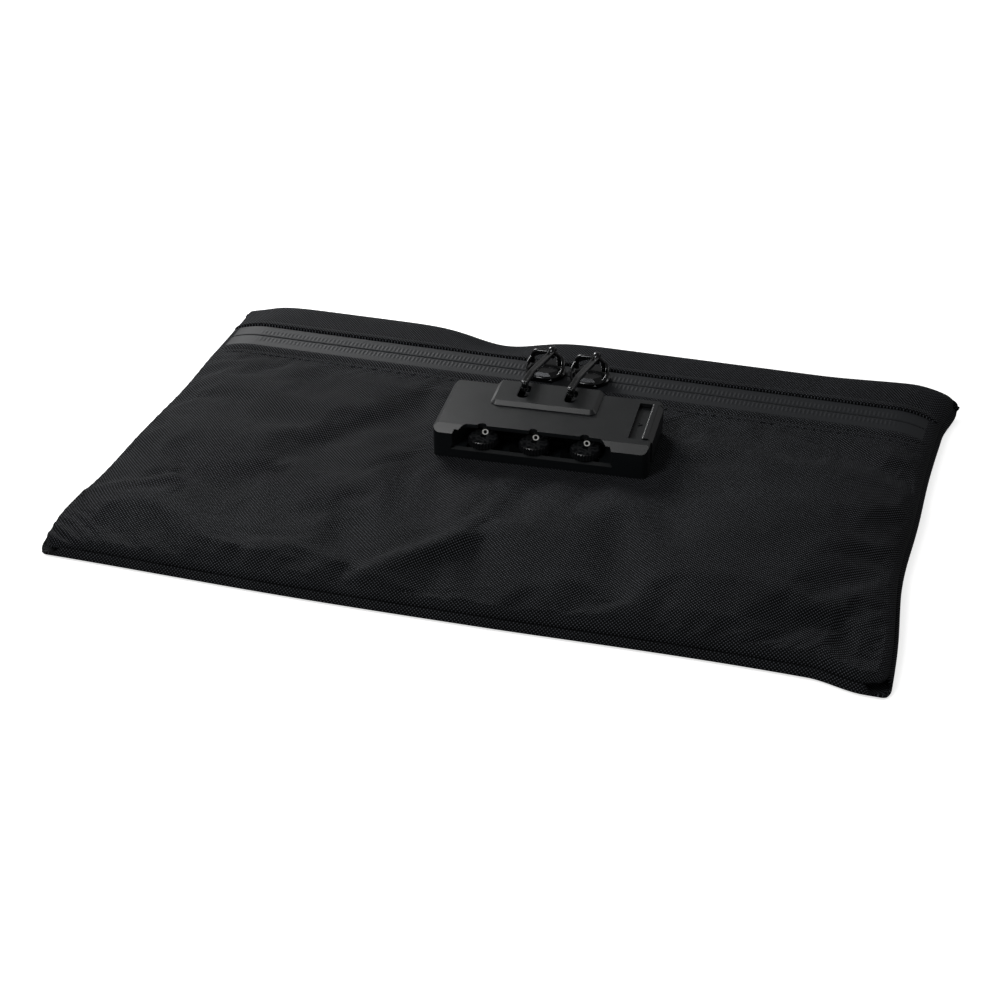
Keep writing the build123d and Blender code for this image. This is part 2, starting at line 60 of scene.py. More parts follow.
# ------------------------------------------------------------------ places read from the frame
PANEL_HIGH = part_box("back_panel")[1]
TOP_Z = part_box("front_panel")[1].z
TAPE_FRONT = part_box("zipper_tape_lower")[0].y
TAPE_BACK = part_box("zipper_tape_upper")[1].y
ZIP_Y = (TAPE_FRONT + TAPE_BACK) / 2
LOCK_LOW, LOCK_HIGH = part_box("lock_base")
LOCK_CENTRE = (LOCK_LOW + LOCK_HIGH) / 2
RELEASE = next(j for j in frame["record"]["behaviour"]["joints"] if j["name"] == "release_travel")
LOCK_TURN = math.atan2(RELEASE["axis"][1], RELEASE["axis"][0])
LOCK_SIZE = Vector((76.0, 34.5, 13.5)) * MM
HALF_W = PANEL_HIGH.x
HALF_D = PANEL_HIGH.y
EDGE_CROWD = 0.8
FRONT_CORNER = 7 * MM
BACK_CORNER = 3 * MM
PRINT_TURN = Matrix.Rotation(math.radians(13), 4, "Z")


# ------------------------------------------------------------------ settings a user would change
def length(name, text, default, low=0.0, high=1.0):
    return bpy.props.FloatProperty(
        name=name, description=text, default=default, min=low, max=high, unit="LENGTH", precision=5)


class BagSizes(bpy.types.PropertyGroup):
    """Sizes of the sewn bag."""

    seam_height: length("Seam height", "Height of the front seam above the table", 4.2 * MM)
    front_roll: length("Front roll", "How far in from the front seam the panel has rolled up", 24 * MM)
    side_roll: length("Side roll", "How far in from a side seam the panel has rolled up", 17 * MM)
    back_height: length("Back height", "Thickness of the bag along its back fold", 11.5 * MM)
    belly: length("Belly", "How much higher the middle of the panel stands than its rim", 2.6 * MM)
    cloth: length("Cloth", "Thickness of the woven cloth", 0.9 * MM)
    thread: length("Thread spacing", "Distance between two threads of the weave", 0.6 * MM)
    stitch: length("Stitch", "Length of one stitch", 3.0 * MM)


class ZipperSizes(bpy.types.PropertyGroup):
    """Sizes of the zipper."""

    rib_pitch: length("Rib pitch", "Distance between two ribs of the coil", 1.55 * MM)
    rib_row: length("Rib rows", "Distance between the two rows of ribs", 5.4 * MM)
    rib_height: length("Rib height", "How far a rib stands out of the tape", 0.15 * MM)
    rib_length: length("Rib length", "Length of a rib across the tape", 3.3 * MM)


def colour(name, text, default):
    return bpy.props.StringProperty(name=name, description=text, default=default)


class BagColours(bpy.types.PropertyGroup):
    """sRGB colours as hex values."""

    cloth: colour("Cloth", "Threads of the woven nylon", "#17181a")
    tape: colour("Zipper tape", "Film on the zipper tapes", "#202225")
    abs: colour("Lock", "Moulded lock housing", "#0e1113")
    metal: colour("Sliders", "Plated sliders and pulls", "#1b1c1e")
    digits: colour("Digits", "Printed dial numbers", "#e6e6e2")
    floor: colour("Floor", "Studio floor", "#f4f4f3")


# ------------------------------------------------------------------ small helpers
def linear(hexcolour):
    """An sRGB hex value as linear RGBA."""
    values = []
    for i in (1, 3, 5):
        c = int(hexcolour[i:i + 2], 16) / 255
        values.append(c / 12.92 if c <= 0.04045 else ((c + 0.055) / 1.055) ** 2.4)
    return (*values, 1.0)


def smooth(a, b, x):
    """0 below a, 1 above b and smooth between them."""
    t = min(max((x - a) / (b - a), 0.0), 1.0)
    return t * t * (3 - 2 * t)


def bump(x, centre, width):
    """A smooth hill of height 1."""
    return math.exp(-((x - centre) / width) ** 2)


def finish_mesh(bm, name, material, shade=True):
    """Turns a bmesh into a piece with its material."""
    mesh = bpy.data.meshes.new(name)
    bm.to_mesh(mesh)
    bm.free()
    for face in mesh.polygons:
        face.use_smooth = shade
    mesh.materials.append(material)
    piece = bpy.data.objects.new(name, mesh)
    bpy.context.scene.collection.objects.link(piece)
    return piece


# ------------------------------------------------------------------ materials
def new_material(name):
    """A material with one Principled shader; returns its tree and the shader."""
    material = bpy.data.materials.new(name)
    material.use_nodes = True
    tree = material.node_tree
    return material, tree, tree.nodes["Principled BSDF"]


def node(tree, kind, settings=None, links=None, values=None):
    """Adds a node with its settings, socket values and incoming links."""
    made = tree.nodes.new(kind)
    for key, value in (settings or {}).items():
        setattr(made, key, value)
    for key, value in (values or {}).items():
        made.inputs[key].default_value = value
    for key, source in (links or {}).items():
        tree.links.new(source, made.inputs[key])
    return made


def math_node(tree, operation, a, b=None):
    """A Math node on sockets or numbers."""
    links = {}
    values = {}
    for index, item in enumerate((a, b)):
        if item is None:
            continue
        if isinstance(item, (int, float)):
            values[index] = item
        else:
            links[index] = item
    return node(tree, "ShaderNodeMath", {"operation": operation}, links, values).outputs[0]


def woven(name, hexcolour, thread, layer="Cloth"):
    """Ballistic nylon in a plain weave: matt threads whose crowns are coloured lighter as painted highlights,
    showing as dots, and whose valleys are coloured darker as painted shade.
    """
    material, tree, shader = new_material(name)
    uv = node(tree, "ShaderNodeUVMap", {"uv_map": layer})
    split = node(tree, "ShaderNodeSeparateXYZ", links={0: uv.outputs[0]})
    drift = node(tree, "ShaderNodeTexNoise", links={"Vector": uv.outputs[0]},
                 values={"Scale": 0.11, "Detail": 3.0})
    across = []
    cells = []
    for axis in (0, 1):
        wander = math_node(tree, "MULTIPLY", drift.outputs[0], 0.7)
        place = math_node(tree, "ADD", math_node(tree, "DIVIDE", split.outputs[axis], thread / MM), wander)
        phase = math_node(tree, "MULTIPLY", place, math.pi)
        wave = math_node(tree, "ABSOLUTE", math_node(tree, "SINE", phase))
        across.append(math_node(tree, "POWER", wave, 1.1))
        cells.append(math_node(tree, "FLOOR", place))
    both = math_node(tree, "ADD", cells[0], cells[1])
    parity = math_node(tree, "ABSOLUTE", math_node(tree, "MODULO", both, 2))
    crown = math_node(tree, "MULTIPLY", across[0], across[1])
    over = math_node(tree, "ADD", math_node(tree, "MULTIPLY", parity, 0.9), 0.1)
    raised = math_node(tree, "MULTIPLY", crown, over)
    fibre = node(tree, "ShaderNodeTexNoise", links={"Vector": uv.outputs[0]},
                 values={"Scale": 3.2, "Detail": 4.0})
    wear = node(tree, "ShaderNodeTexNoise", links={"Vector": uv.outputs[0]},
                values={"Scale": 0.035, "Detail": 4.0})
    # painted light: the base colour runs from a tenth of the thread colour in the valleys (painted shade) to
    # sixteen times it on the crowns (painted highlight)
    base = linear(hexcolour)
    painted_valley_shade = tuple(c * 0.1 for c in base[:3]) + (1,)
    light = tuple(min(c * 16, 1) for c in base[:3]) + (1,)
    ramp = node(tree, "ShaderNodeValToRGB", links={0: raised})
    ramp.color_ramp.elements[0].color = painted_valley_shade
    ramp.color_ramp.elements[0].position = 0.05
    ramp.color_ramp.elements[1].color = light
    ramp.color_ramp.elements[1].position = 0.95
    tint = node(tree, "ShaderNodeMix", {"data_type": "RGBA", "blend_type": "MULTIPLY"},
                {6: ramp.outputs[0]}, {0: 0.55})
    tree.links.new(wear.outputs[0], tint.inputs[7])
    tree.links.new(tint.outputs[2], shader.inputs["Base Color"])
    height = math_node(tree, "ADD", raised, math_node(tree, "MULTIPLY", fibre.outputs[0], 0.25))
    relief = node(tree, "ShaderNodeBump", links={"Height": height},
                  values={"Strength": 1.0, "Distance": 0.00022})
    tree.links.new(relief.outputs[0], shader.inputs["Normal"])
    shader.inputs["Roughness"].default_value = 0.75
    shader.inputs["Specular IOR Level"].default_value = 0.06
    shader.inputs["Sheen Weight"].default_value = 0.01
    shader.inputs["Sheen Roughness"].default_value = 0.45
    return material


def film(name, hexcolour):
    """Polyurethane film on a zipper tape: smooth, slightly satin, with a faint grain."""
    material, tree, shader = new_material(name)
    place = node(tree, "ShaderNodeTexCoord")
    grain = node(tree, "ShaderNodeTexNoise", links={"Vector": place.outputs["Object"]},
                 values={"Scale": 2200.0, "Detail": 3.0})
    cloud = node(tree, "ShaderNodeTexNoise", links={"Vector": place.outputs["Object"]},
                 values={"Scale": 60.0, "Detail": 4.0})
    base = linear(hexcolour)
    ramp = node(tree, "ShaderNodeValToRGB", links={0: cloud.outputs[0]})
    ramp.color_ramp.elements[0].color = tuple(c * 0.8 for c in base[:3]) + (1,)
    ramp.color_ramp.elements[1].color = tuple(c * 1.2 for c in base[:3]) + (1,)
    tree.links.new(ramp.outputs[0], shader.inputs["Base Color"])
    relief = node(tree, "ShaderNodeBump", links={"Height": grain.outputs[0]},
                  values={"Strength": 0.25, "Distance": 0.00005})
    tree.links.new(relief.outputs[0], shader.inputs["Normal"])
    shader.inputs["Roughness"].default_value = 0.62
    shader.inputs["Specular IOR Level"].default_value = 0.22
    return material


def moulded(name, hexcolour, roughness=0.38):
    """ABS moulded in a spark-eroded tool: fine even grain and soft satin highlights."""
    material, tree, shader = new_material(name)
    place = node(tree, "ShaderNodeTexCoord")
    grain = node(tree, "ShaderNodeTexNoise", links={"Vector": place.outputs["Object"]},
                 values={"Scale": 3000.0, "Detail": 4.0, "Roughness": 0.6})
    rub = node(tree, "ShaderNodeTexNoise", links={"Vector": place.outputs["Object"]},
               values={"Scale": 90.0, "Detail": 5.0})
    base = linear(hexcolour)
    ramp = node(tree, "ShaderNodeValToRGB", links={0: rub.outputs[0]})
    ramp.color_ramp.elements[0].color = tuple(c * 0.9 for c in base[:3]) + (1,)
    ramp.color_ramp.elements[1].color = tuple(c * 1.1 for c in base[:3]) + (1,)
    tree.links.new(ramp.outputs[0], shader.inputs["Base Color"])
    gloss = node(tree, "ShaderNodeMapRange", links={0: rub.outputs[0]},
                 values={3: roughness - 0.05, 4: roughness + 0.08})
    tree.links.new(gloss.outputs[0], shader.inputs["Roughness"])
    relief = node(tree, "ShaderNodeBump", links={"Height": grain.outputs[0]},
                  values={"Strength": 0.35, "Distance": 0.00006})
    tree.links.new(relief.outputs[0], shader.inputs["Normal"])
    return material


def plated(name, hexcolour, roughness=0.22):
    """Black nickel on die-cast zinc: dark mirror with fine polishing marks."""
    material, tree, shader = new_material(name)
    place = node(tree, "ShaderNodeTexCoord")
    marks = node(tree, "ShaderNodeTexNoise", links={"Vector": place.outputs["Object"]},
                 values={"Scale": 700.0, "Detail": 5.0})
    gloss = node(tree, "ShaderNodeMapRange", links={0: marks.outputs[0]},
                 values={3: roughness * 0.7, 4: roughness * 1.5})
    tree.links.new(gloss.outputs[0], shader.inputs["Roughness"])
    shader.inputs["Base Color"].default_value = linear(hexcolour)
    shader.inputs["Metallic"].default_value = 0.85
    shader.inputs["Coat Weight"].default_value = 0.6
    shader.inputs["Coat Roughness"].default_value = 0.08
    return material


def steel(name, hexcolour, roughness=0.35):
    """Bare steel of the inner parts: drawn or pressed, with short streaks."""
    material, tree, shader = new_material(name)
    place = node(tree, "ShaderNodeTexCoord")
    stretch = node(tree, "ShaderNodeMapping", links={0: place.outputs["Object"]},
                   values={3: (200, 2400, 2400)})
    streak = node(tree, "ShaderNodeTexNoise", links={"Vector": stretch.outputs[0]},
                  values={"Scale": 1.0, "Detail": 3.0})
    gloss = node(tree, "ShaderNodeMapRange", links={0: streak.outputs[0]},
                 values={3: roughness - 0.1, 4: roughness + 0.15})
    tree.links.new(gloss.outputs[0], shader.inputs["Roughness"])
    shader.inputs["Base Color"].default_value = linear(hexcolour)
    shader.inputs["Metallic"].default_value = 1.0
    return material


def paint(name, hexcolour):
    """Pad-printed ink: flat and slightly rough, and glowing faintly in its own colour as painted light."""
    material, tree, shader = new_material(name)
    place = node(tree, "ShaderNodeTexCoord")
    speck = node(tree, "ShaderNodeTexNoise", links={"Vector": place.outputs["Object"]},
                 values={"Scale": 4000.0})
    base = linear(hexcolour)
    ramp = node(tree, "ShaderNodeValToRGB", links={0: speck.outputs[0]})
    ramp.color_ramp.elements[0].color = tuple(c * 0.85 for c in base[:3]) + (1,)
    ramp.color_ramp.elements[1].color = base
    tree.links.new(ramp.outputs[0], shader.inputs["Base Color"])
    shader.inputs["Roughness"].default_value = 0.6
    # painted light: the ink glows at 0.3 strength in its own colour, so the white digits shaded by the roof
    # still read bright
    shader.inputs["Emission Color"].default_value = base
    shader.inputs["Emission Strength"].default_value = 0.3
    return material


MATERIALS = {}


def make_materials(colours, sizes):
    MATERIALS["cloth"] = woven("Ballistic nylon", colours.cloth, sizes.thread)
    MATERIALS["binding"] = woven("Polyester binding", "#151517", sizes.thread * 1.3)
    MATERIALS["tape"] = film("Polyurethane film", colours.tape)
    MATERIALS["lining"] = film("Coated lining", "#232427")
    MATERIALS["coil"] = film("Nylon coil", "#141416")
    MATERIALS["abs"] = moulded("Moulded ABS", colours.abs)
    MATERIALS["dial"] = moulded("Moulded acetal", "#101113", 0.34)
    MATERIALS["metal"] = plated("Black nickel plate", colours.metal)
    MATERIALS["steel"] = steel("Zinc plated steel", "#8b8d90")
    MATERIALS["phosphate"] = steel("Black phosphated steel", "#242527", 0.5)
    MATERIALS["zinc"] = steel("Cast zinc", "#4c4d50", 0.45)
    MATERIALS["ink"] = paint("Glowing pad print", colours.digits)
    # the nine digits other than zero are printed dark grey
    MATERIALS["dark_ink"] = paint("Dark pad print", "#1d1e1f")
    MATERIALS["thread"] = woven("Bonded nylon thread", "#1c1d20", sizes.thread * 0.5)


# ------------------------------------------------------------------ shape of the bag
def left_edge(y):
    """X of the left seam, which draws in along its middle."""
    x = -HALF_W - 3.2 * MM * bump(y, -72 * MM, 20 * MM)
    x += 2.2 * MM * bump(y, 20 * MM, 30 * MM)
    return x + 1.8 * MM * bump(y, 66 * MM, 24 * MM)


def right_edge(y):
    drawn_in = 2.4 * bump(y, 30 * MM, 40 * MM) + 3.4 * bump(y, -30 * MM, 32 * MM) + 1.4
    return HALF_W - drawn_in * MM + 2.6 * MM * smooth(66 * MM, 86 * MM, y)


def front_edge(x):
    """Y of the front seam."""
    wave = 0.6 * math.sin(x / (31 * MM)) + 2.4 * smooth(10 * MM, 110 * MM, x)
    wave -= 3.6 * smooth(114 * MM, 132 * MM, x)
    return -HALF_D - (1.0 - wave) * MM


def back_edge(x):
    return HALF_D - 1.2 * MM * bump(x, -32 * MM, 18 * MM)


FOLDS = (
    # start and end on the panel in millimetres, half width, height
    ((-31, -84), (-4, -60), 4.5, 1.9),
    ((-4, -60), (34, -48), 8.0, 1.0),
    ((-33, -86), (-44, -62), 7.0, -1.8),
    ((-137, -61), (-110, -51), 3.6, 1.9),
    ((-110, -51), (-80, -48), 7.0, 0.7),
    ((-128, 40), (-84, 18), 9.0, 0.7),
    ((-122, -78), (-70, -78), 7.0, 0.8),
    ((62, 12), (124, 34), 10.0, 0.6),
    ((88, -30), (132, 4), 10.0, 0.8),
    ((66, -66), (118, -74), 9.0, 1.1),
    ((112, -60), (132, -30), 6.0, -0.9),
    ((-86, -64), (-50, -68), 8.0, -0.7),
    ((44, -8), (60, -30), 9.0, -0.7),
    ((-66, -26), (-42, 16), 12.0, -1.1),
    ((92, 40), (132, 20), 7.0, -0.7),
)


def fold_height(x, y):
    """The soft folds and hollows that a packed bag keeps."""
    total = 0.0
    for (ax, ay), (bx, by), width, height in FOLDS:
        dx = bx - ax
        dy = by - ay
        span = dx * dx + dy * dy
        t = ((x / MM - ax) * dx + (y / MM - ay) * dy) / span
        near = min(max(t, 0.0), 1.0)
        away = math.hypot(x / MM - ax - near * dx, y / MM - ay - near * dy)
        total += height * MM * math.exp(-(away / width) ** 2)
    return total


def pucker(x, y):
    """Small gathers where the front left corner was turned out."""
    near = bump(x, -HALF_W, 9 * MM) * bump(y, -HALF_D, 11 * MM)
    return near * (0.8 * MM * math.sin((x + 1.6 * y) / (1.1 * MM)) - 0.8 * MM)


def lock_distance(x, y):
    """How far a point lies outside the lock's footprint."""
    local = Matrix.Rotation(-LOCK_TURN, 3, "Z") @ Vector((x - LOCK_CENTRE.x, y - LOCK_CENTRE.y, 0))
    dx = max(abs(local.x) - LOCK_SIZE.x / 2, 0)
    dy = max(abs(local.y) - LOCK_SIZE.y / 2, 0)
    return math.hypot(dx, dy)


def roll(distance, reach):
    """Rise of a rolled edge: upright at the seam and level after reach."""
    t = min(max(distance / reach, 0.0), 1.0)
    return math.sqrt(1 - (1 - t) ** 2)


def back_lift(x):
    """Share of the full height that the back fold has along its length."""
    low = 0.42 * bump(x, -31 * MM, 17 * MM) - 0.14 * smooth(90 * MM, 130 * MM, x)
    low += 0.3 * bump(x, -HALF_W, 14 * MM)
    return 1.0 - low


def bag_top(x, y, sizes):
    """Height of the upper cloth."""
    seam = sizes.seam_height
    in_front = roll(y - front_edge(x), sizes.front_roll)
    in_left = roll(x - left_edge(y), sizes.side_roll)
    in_right = roll(right_edge(y) - x, sizes.side_roll)
    edge = in_front * in_left * in_right
    level = TOP_Z - seam
    middle = sizes.belly * bump(x, 60 * MM, 90 * MM) * bump(y, -35 * MM, 50 * MM)
    hollow = -1.8 * MM * bump(y, -70 * MM, 34 * MM)
    z = seam + (level + middle + hollow + fold_height(x, y)) * edge + pucker(x, y)
    near_zip = smooth(TAPE_FRONT - 22 * MM, TAPE_FRONT - 2 * MM, y)
    along = in_left * in_right
    z = z * (1 - near_zip) + (seam + level * along) * near_zip
    near_lock = 1 - smooth(0, 13 * MM, lock_distance(x, y))
    z = z * (1 - near_lock) + (TOP_Z - 0.15 * MM) * near_lock
    to_back = back_edge(x) - y
    reach = 13 * MM
    if to_back < 30 * MM:
        fold = sizes.back_height * back_lift(x)
        target = fold * (0.5 + 0.5 * roll(to_back, reach * 0.6))
        share = 1 - smooth(6 * MM, 24 * MM, to_back)
        z = z * (1 - share) + (seam + (target - seam) * along) * share
    return z


def bag_bottom(x, y, sizes):
    """Height of the lower cloth, which lies on the table away from the seams."""
    seam = sizes.seam_height
    to_front = y - front_edge(x)
    to_side = min(x - left_edge(y), right_edge(y) - x)
    to_back = back_edge(x) - y
    half = sizes.back_height * back_lift(x) * 0.5
    z = seam * (1 - roll(min(to_front, to_side), 4 * MM))
    if to_back < 12 * MM:
        z = max(z, half * (1 - roll(to_back, 8 * MM)))
    return z


def bulge_out(distance, amount, reach):
    """How far the cloth stands out past its seam."""
    t = min(max(distance / reach, 0.0), 1.0)
    return amount * math.sin(math.pi * t) * (1 - t)


def crowd(t):
    """Spreads 0 to 1 so that grid lines crowd towards both ends."""
    return t - EDGE_CROWD * math.sin(math.tau * t) / math.tau


def round_corner(a, b):
    """Maps the corner square, 0 inside to 1 at the seams, to a quarter disc."""
    return a * math.sqrt(1 - b * b / 2), b * math.sqrt(1 - a * a / 2)


def outline(u, v):
    """A point of the bag's plan from 0 to 1 along each side."""
    y = -HALF_D + crowd(v) * 2 * HALF_D
    left = left_edge(y)
    right = right_edge(y)
    x = left + crowd(u) * (right - left)
    low = front_edge(x)
    high = back_edge(x)
    y = low + crowd(v) * (high - low)
    near_x = min(x - left, right - x)
    near_y = min(y - low, high - y)
    corner = BACK_CORNER if y > 0 else FRONT_CORNER
    if near_x < corner and near_y < corner:
        a, b = round_corner(1 - near_x / corner, 1 - near_y / corner)
        x += (1 if x > 0 else -1) * (corner * a - (corner - near_x))
        y += (1 if y > 0 else -1) * (corner * b - (corner - near_y))
    return x, y


def shape_sheet(across, along, sizes, height, puff, reach):
    """A grid laid over the bag's plan, as rows of points from front to back."""
    rows = []
    for j in range(along + 1):
        row = []
        for i in range(across + 1):
            x, y = outline(i / across, j / along)
            z = height(x, y, sizes)
            push_x = bulge_out(x - left_edge(y), puff, reach)
            push_x -= bulge_out(right_edge(y) - x, puff, reach)
            push_y = bulge_out(y - front_edge(x), puff, reach)
            row.append(Vector((x - push_x, y - push_y, z)))
        rows.append(row)
    return rows


def weave_sheet(rows, name, material, flip=False):
    """Turns rows of points into a piece."""
    across = len(rows[0])
    mesh = bpy.data.meshes.new(name)
    faces = []
    for j in range(len(rows) - 1):
        for i in range(across - 1):
            a = j * across + i
            quad = (a, a + 1, a + 1 + across, a + across)
            faces.append(quad[::-1] if flip else quad)
    mesh.from_pydata([p for row in rows for p in row], [], faces)
    mesh.polygons.foreach_set("use_smooth", [True] * len(faces))
    mesh.materials.append(material)
    piece = bpy.data.objects.new(name, mesh)
    bpy.context.scene.collection.objects.link(piece)
    return piece


def measured(points):
    """Distances along a line of points, counted from its middle."""
    total = [0.0]
    for a, b in zip(points[:-1], points[1:]):
        total.append(total[-1] + (b - a).length)
    middle = total[len(total) // 2]
    return [(t - middle) / MM for t in total]


def lay_thread(piece, across):
    """Records in a UV layer where every point lies on the flat cloth, measured over its rolled edges."""
    points = [v.co for v in piece.data.vertices]
    down = len(points) // across
    row = down // 2 * across
    u = measured(points[row:row + across])
    v = measured(points[across // 4::across])
    layer = piece.data.uv_layers.new(name="Cloth")
    for loop in piece.data.loops:
        j, i = divmod(loop.vertex_index, across)
        layer.data[loop.index].uv = (u[i], v[j])


def settle(piece, pinned, frames, shrink, pressure):
    """Lets the cloth find its own small creases between the places where it is held."""
    group = piece.vertex_groups.new(name="held")
    for index, weight in pinned.items():
        group.add([index], weight, "REPLACE")
    cloth = piece.modifiers.new("Cloth", "CLOTH")
    s = cloth.settings
    s.quality = 6
    s.mass = 0.35
    s.tension_stiffness = 20
    s.compression_stiffness = 20
    s.shear_stiffness = 8
    s.bending_stiffness = 1.2
    s.air_damping = 2
    s.shrink_min = shrink
    s.vertex_group_mass = "held"
    s.use_pressure = True
    s.uniform_pressure_force = pressure
    s.effector_weights.gravity = 0
    cloth.point_cache.frame_start = 1
    cloth.point_cache.frame_end = frames
    for number in range(1, frames + 1):
        bpy.context.scene.frame_set(number)
    done = piece.evaluated_get(bpy.context.evaluated_depsgraph_get()).to_mesh()
    moved = [v.co.copy() for v in done.vertices]
    piece.evaluated_get(bpy.context.evaluated_depsgraph_get()).to_mesh_clear()
    piece.modifiers.remove(cloth)
    cap = 3.5 * MM
    for vertex, target in zip(piece.data.vertices, moved):
        step = target - vertex.co
        if step.length > cap:
            step = step.normalized() * cap
        vertex.co = vertex.co + step
    bpy.context.scene.frame_set(1)


class DEPOSITBAG_OT_cloth(bpy.types.Operator):
    """Make the sewn cloth of the bag and let it settle"""

    bl_idname = "depositbag.cloth"
    bl_label = "Bag cloth"

    def execute(self, context):
        sizes = context.scene.bag_sizes
        across = 197
        rows = shape_sheet(across - 1, 128, sizes, bag_top, 1.5 * MM, 10 * MM)
        top = weave_sheet(rows, "bag_upper_cloth", MATERIALS["cloth"])
        pinned = {}
        for vertex in top.data.vertices:
            x, y, _ = vertex.co
            rim = min(x - left_edge(y), right_edge(y) - x, y - front_edge(x), back_edge(x) - y)
            held = 1 - smooth(0.5 * MM, 4 * MM, rim)
            held = max(held, 1 - smooth(1 * MM, 8 * MM, lock_distance(x, y)))
            in_zip = smooth(TAPE_FRONT - 9 * MM, TAPE_FRONT - 2 * MM, y)
            pinned[vertex.index] = max(held, in_zip, 0.0)
        settle(top, pinned, 24, -0.012, 0.6)
        lay_thread(top, across)
        bm = bmesh.new()
        bm.from_mesh(top.data)
        hidden = [f for f in bm.faces
                  if TAPE_FRONT + 1.2 * MM < f.calc_center_median().y < TAPE_BACK - 1.2 * MM
                  and abs(f.calc_center_median().x) < HALF_W - 12 * MM]
        bmesh.ops.delete(bm, geom=hidden, context="FACES")
        bm.to_mesh(top.data)
        bm.free()
        add_thickness(top, sizes.cloth)
        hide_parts("front_panel", "top_band")
        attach(top, "bag")

        rows = shape_sheet(150, 110, sizes, bag_bottom, 4.6 * MM, 4 * MM)
        low = weave_sheet(rows, "bag_lower_cloth", MATERIALS["cloth"], flip=True)
        lay_thread(low, 151)
        add_thickness(low, sizes.cloth)
        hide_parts("back_panel")
        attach(low, "bag")
        return {"FINISHED"}


def inside_rim(place, margin, reach):
    """Whether a point lies clear of the seams and in front of a line across the bag."""
    side = min(place.x - left_edge(place.y), right_edge(place.y) - place.x)
    return side > margin and place.y - front_edge(place.x) > margin and place.y < reach


class DEPOSITBAG_OT_lining(bpy.types.Operator):
    """Make the coated lining and the binding of the seams inside the bag"""

    bl_idname = "depositbag.lining"
    bl_label = "Lining and binding"

    def execute(self, context):
        sizes = context.scene.bag_sizes
        for name, replaced, cloth in (("lining_upper", "front_lining", "bag_upper_cloth"),
                                      ("lining_lower", "back_lining", "bag_lower_cloth")):
            bm = bmesh.new()
            bm.from_mesh(bpy.data.objects[cloth].data)
            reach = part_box("front_lining")[1].y if replaced == "front_lining" else HALF_D - 12 * MM
            hidden = [f for f in bm.faces if not inside_rim(f.calc_center_median(), 7 * MM, reach)]
            bmesh.ops.delete(bm, geom=hidden, context="FACES")
            bm.normal_update()
            moved = [v.co - v.normal * (sizes.cloth + 0.5 * MM) for v in bm.verts]
            for vertex, place in zip(bm.verts, moved):
                vertex.co = place
            piece = finish_mesh(bm, name, MATERIALS["lining"])
            add_thickness(piece, 0.3 * MM)
            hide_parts(replaced)
            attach(piece, "bag")
        bm = bmesh.new()
        ring = []
        for side in range(3):
            count = 60
            for i in range(count):
                t = i / count
                ring.append(((0, 1 - t), (t, 0), (1, t))[side])
        rows = []
        for u, v in ring:
            x, y = outline(u, v)
            inward = Vector((-x / HALF_W, -y / HALF_D, 0)).normalized()
            start = Vector((x, y, sizes.seam_height)) + inward * 3.2 * MM
            end = start + inward * 3.0 * MM
            rows.append([bm.verts.new(start), bm.verts.new(end)])
        for a, b in zip(rows[:-1], rows[1:]):
            bm.faces.new((a[0], b[0], b[1], a[1]))
        layer = bm.loops.layers.uv.new("Cloth")
        for face in bm.faces:
            for loop in face.loops:
                loop[layer].uv = (loop.vert.co.x / MM, loop.vert.co.y / MM)
        piece = finish_mesh(bm, "binding_strip", MATERIALS["binding"])
        add_thickness(piece, 0.7 * MM)
        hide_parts("seam_binding")
        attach(piece, "bag")
        return {"FINISHED"}


def add_thickness(piece, thickness):
    """Gives a sheet its thickness on the inner side."""
    wall = piece.modifiers.new("Thickness", "SOLIDIFY")
    wall.thickness = thickness
    wall.offset = -1.0
    wall.use_even_offset = False


# ------------------------------------------------------------------ zipper
def rib(x, y, sizes):
    """Height of the coil's ribs under the film."""
    row = abs(abs(y - ZIP_Y) - sizes.rib_row / 2)
    across = 1 - smooth(sizes.rib_length * 0.3, sizes.rib_length * 0.62, row)
    along = 0.5 + 0.5 * math.cos(2 * math.pi * x / sizes.rib_pitch)
    ends = smooth(0, 6 * MM, HALF_W - 14 * MM - abs(x))
    return sizes.rib_height * across * along ** 1.4 * ends


class DEPOSITBAG_OT_zipper(bpy.types.Operator):
    """Make the two film-faced zipper tapes with the ribs of the coil"""

    bl_idname = "depositbag.zipper"
    bl_label = "Zipper tapes"

    def execute(self, context):
        bag = context.scene.bag_sizes
        sizes = context.scene.zipper_sizes
        for side, name, node_name in ((-1, "zipper_tape_lower_film", "zipper_tape_lower"),
                                      (1, "zipper_tape_upper_film", "zipper_tape_upper")):
            bm = bmesh.new()
            bmesh.ops.create_grid(bm, x_segments=1100, y_segments=20, size=1.0)
            inner = ZIP_Y + side * 0.06 * MM
            outer = ZIP_Y + side * (TAPE_BACK - ZIP_Y + 1.5 * MM)
            for vertex in bm.verts:
                x = vertex.co.x * (HALF_W - 5 * MM)
                t = (vertex.co.y * side + 1) / 2
                y = inner + t * (outer - inner)
                lip = -0.3 * MM * (1 - smooth(0, 0.5 * MM, abs(y - ZIP_Y)))
                z = bag_top(x, y, bag) + 0.35 * MM + rib(x, y, sizes) + lip
                seam = TAPE_BACK - ZIP_Y
                sink = 0.9 * MM * smooth(seam - 1.2 * MM, seam + 1.0 * MM, abs(y - ZIP_Y))
                vertex.co = Vector((x, y, z - sink * (1 if side > 0 else 0.25)))
            piece = finish_mesh(bm, name, MATERIALS["tape"])
            add_thickness(piece, 0.5 * MM)
            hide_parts(node_name)
            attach(piece, "bag")
        return {"FINISHED"}


